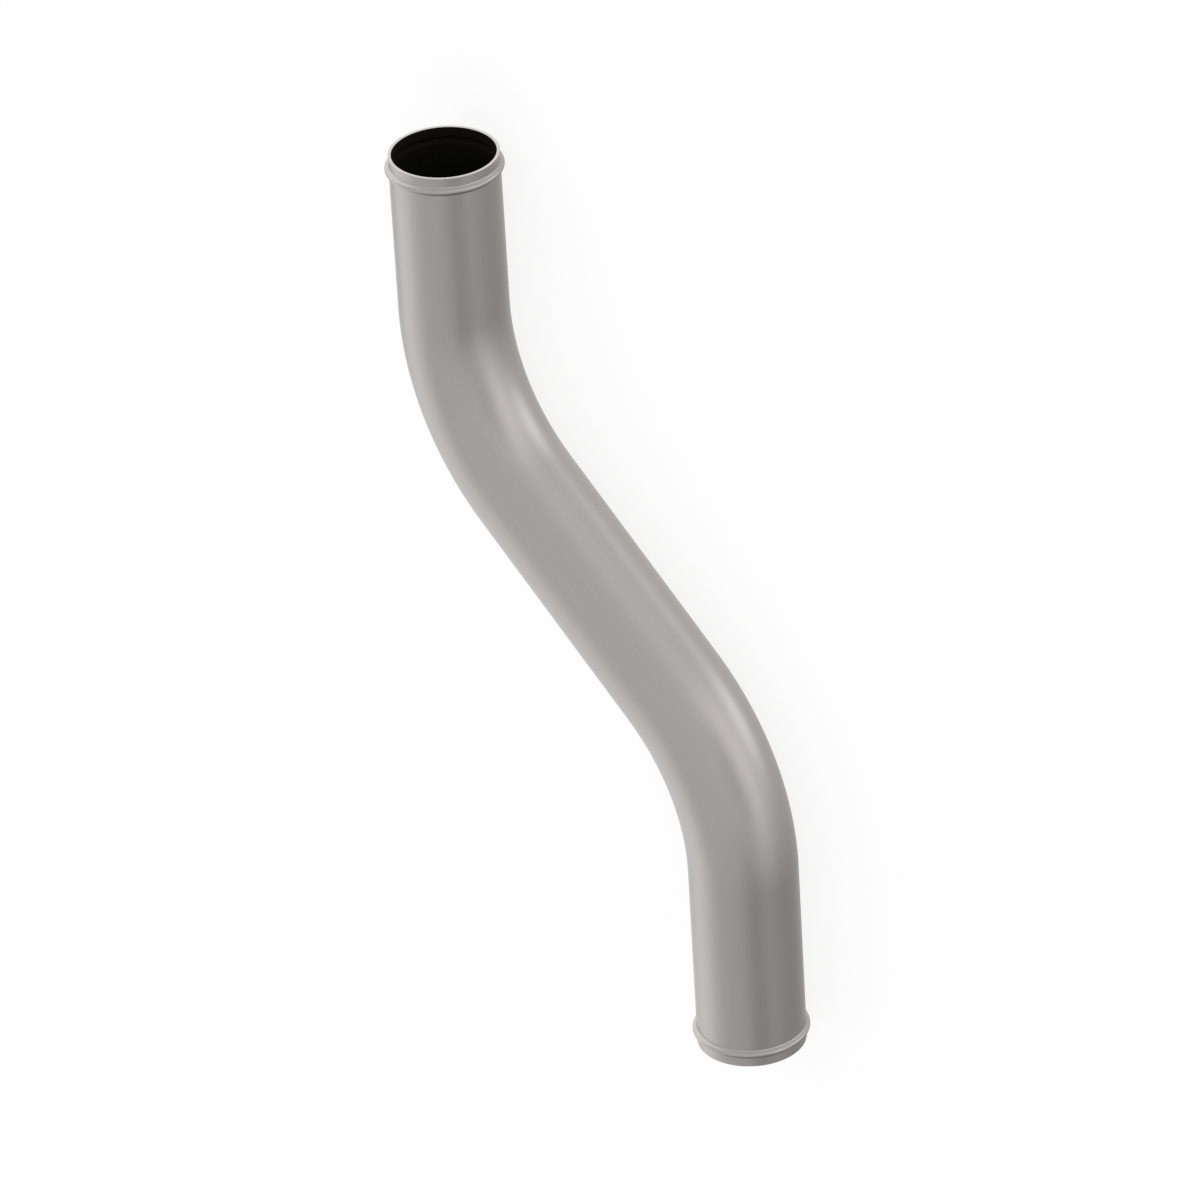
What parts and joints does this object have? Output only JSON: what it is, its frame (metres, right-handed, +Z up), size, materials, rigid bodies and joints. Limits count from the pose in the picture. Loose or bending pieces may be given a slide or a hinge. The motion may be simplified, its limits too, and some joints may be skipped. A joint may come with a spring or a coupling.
{
  "type": "charge air tube",
  "caption": "Round metal tube with two equal and opposite bends in one plane, parallel open ends and a rolled hose-retaining bead near each mouth.",
  "frame": {"origin": "bottom centre of the whole tube, as it lies on its two beads with the bend plane level", "axes": "+X along the two parallel end sections, from the short leg's mouth to the long leg's mouth; +Y the way in which the long leg is offset; +Z up, square to the plane of the bends"},
  "size_m": [0.5748, 0.2902, 0.075],
  "materials": {
    "tube": "satin"
  },
  "bodies": {
    "root": {"charge_air_tube": "tube"}
  },
  "joints": []
}
